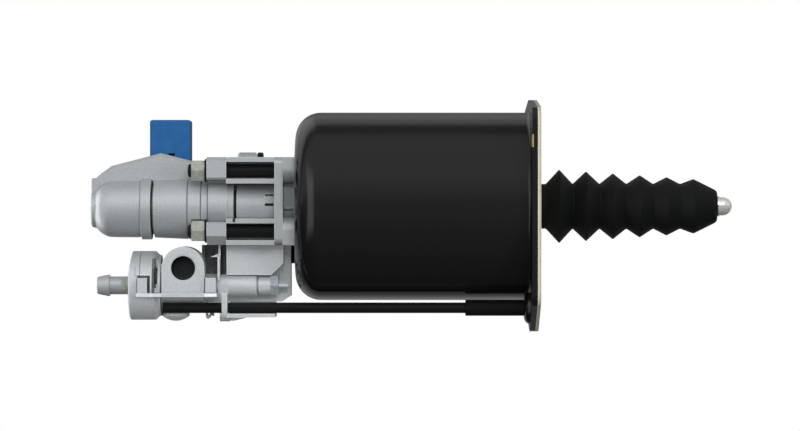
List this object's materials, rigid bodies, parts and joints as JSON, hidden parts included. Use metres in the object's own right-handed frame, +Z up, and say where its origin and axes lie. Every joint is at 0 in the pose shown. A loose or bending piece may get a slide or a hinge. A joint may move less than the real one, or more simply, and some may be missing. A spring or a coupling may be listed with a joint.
{
  "type": "clutch servo",
  "caption": "Air-over-hydraulic clutch servo: black can with mounting flange, cast hydraulic body, relay valve and bellowed push rod.",
  "frame": {"origin": "centre of the mounting face on the servo's axis, which is the centre of the four bolt holes", "axes": "+X along the push rod, out of the mounting face; +Z up, away from the relay valve; the air port looks along -Y"},
  "size_m": [0.3837, 0.124, 0.1381],
  "materials": {
    "black_paint": "gloss",
    "zinc_cream": "satin, passivated",
    "gasket_sheet": "matte",
    "bearing_bronze": "satin",
    "steel": "polished",
    "black_rubber": "matte",
    "cast_aluminium": "die cast, satin",
    "spring_steel": "satin",
    "black_steel": "satin",
    "nut_zinc": "satin, zinc plated",
    "white_ptfe": "matte",
    "blue_plastic": "satin",
    "brass": "satin"
  },
  "bodies": {
    "housing": {"cylinder_can": "black_paint", "cover_gasket": "gasket_sheet", "front_cover": "zinc_cream", "rod_guide_bush": "bearing_bronze", "bellows": "black_rubber", "body_studs": "black_steel", "stud_washers": "black_steel", "stud_nuts": "nut_zinc", "hydraulic_body": "cast_aluminium", "plunger_guide": "bearing_bronze", "plunger_seal": "black_rubber", "dome_ring": "spring_steel", "rear_dome": "cast_aluminium", "port_nipple": "steel", "port_cap": "blue_plastic", "bleed_screw": "steel", "bleed_cap": "black_rubber", "relay_valve_body": "cast_aluminium", "valve_screws": "black_steel", "valve_cap": "cast_aluminium", "hose_barb": "cast_aluminium", "valve_seat_ring": "brass", "inlet_spring": "spring_steel", "control_spring": "spring_steel", "end_screw": "steel", "end_pin": "steel", "transfer_seal": "black_rubber", "breather_tube": "black_steel", "tube_sleeve": "black_rubber", "breather_nozzle": "steel", "exhaust_flap": "cast_aluminium"},
    "piston": {"power_piston": "cast_aluminium", "piston_cup": "black_rubber", "piston_guide_band": "white_ptfe", "return_spring": "spring_steel", "hydraulic_plunger": "steel", "plunger_cup": "black_rubber", "push_rod": "steel"},
    "relay_piston": {"control_piston": "cast_aluminium", "control_ring": "black_rubber", "control_cup": "black_rubber"},
    "inlet": {"inlet_valve": "black_rubber"}
  },
  "joints": [
    {"name": "power_stroke", "type": "slide", "parent": "housing", "child": "piston", "axis": [1, 0, 0], "range_m": [0, 0.045], "stiffness_N_per_m": 3000, "springref_m": -0.03, "deforming": ["bellows", "return_spring"]},
    {"name": "relay_stroke", "type": "slide", "parent": "housing", "child": "relay_piston", "axis": [-1, 0, 0], "range_m": [0, 0.0029], "stiffness_N_per_m": 1500, "springref_m": -0.002, "deforming": ["control_spring"]},
    {"name": "inlet_stroke", "type": "slide", "parent": "housing", "child": "inlet", "axis": [-1, 0, 0], "range_m": [0, 0.002], "stiffness_N_per_m": 800, "springref_m": -0.002, "deforming": ["inlet_spring"]}
  ],
  "couplings": [
    {"joint": "inlet_stroke", "follows": "relay_stroke", "ratio": 0.6896}
  ]
}
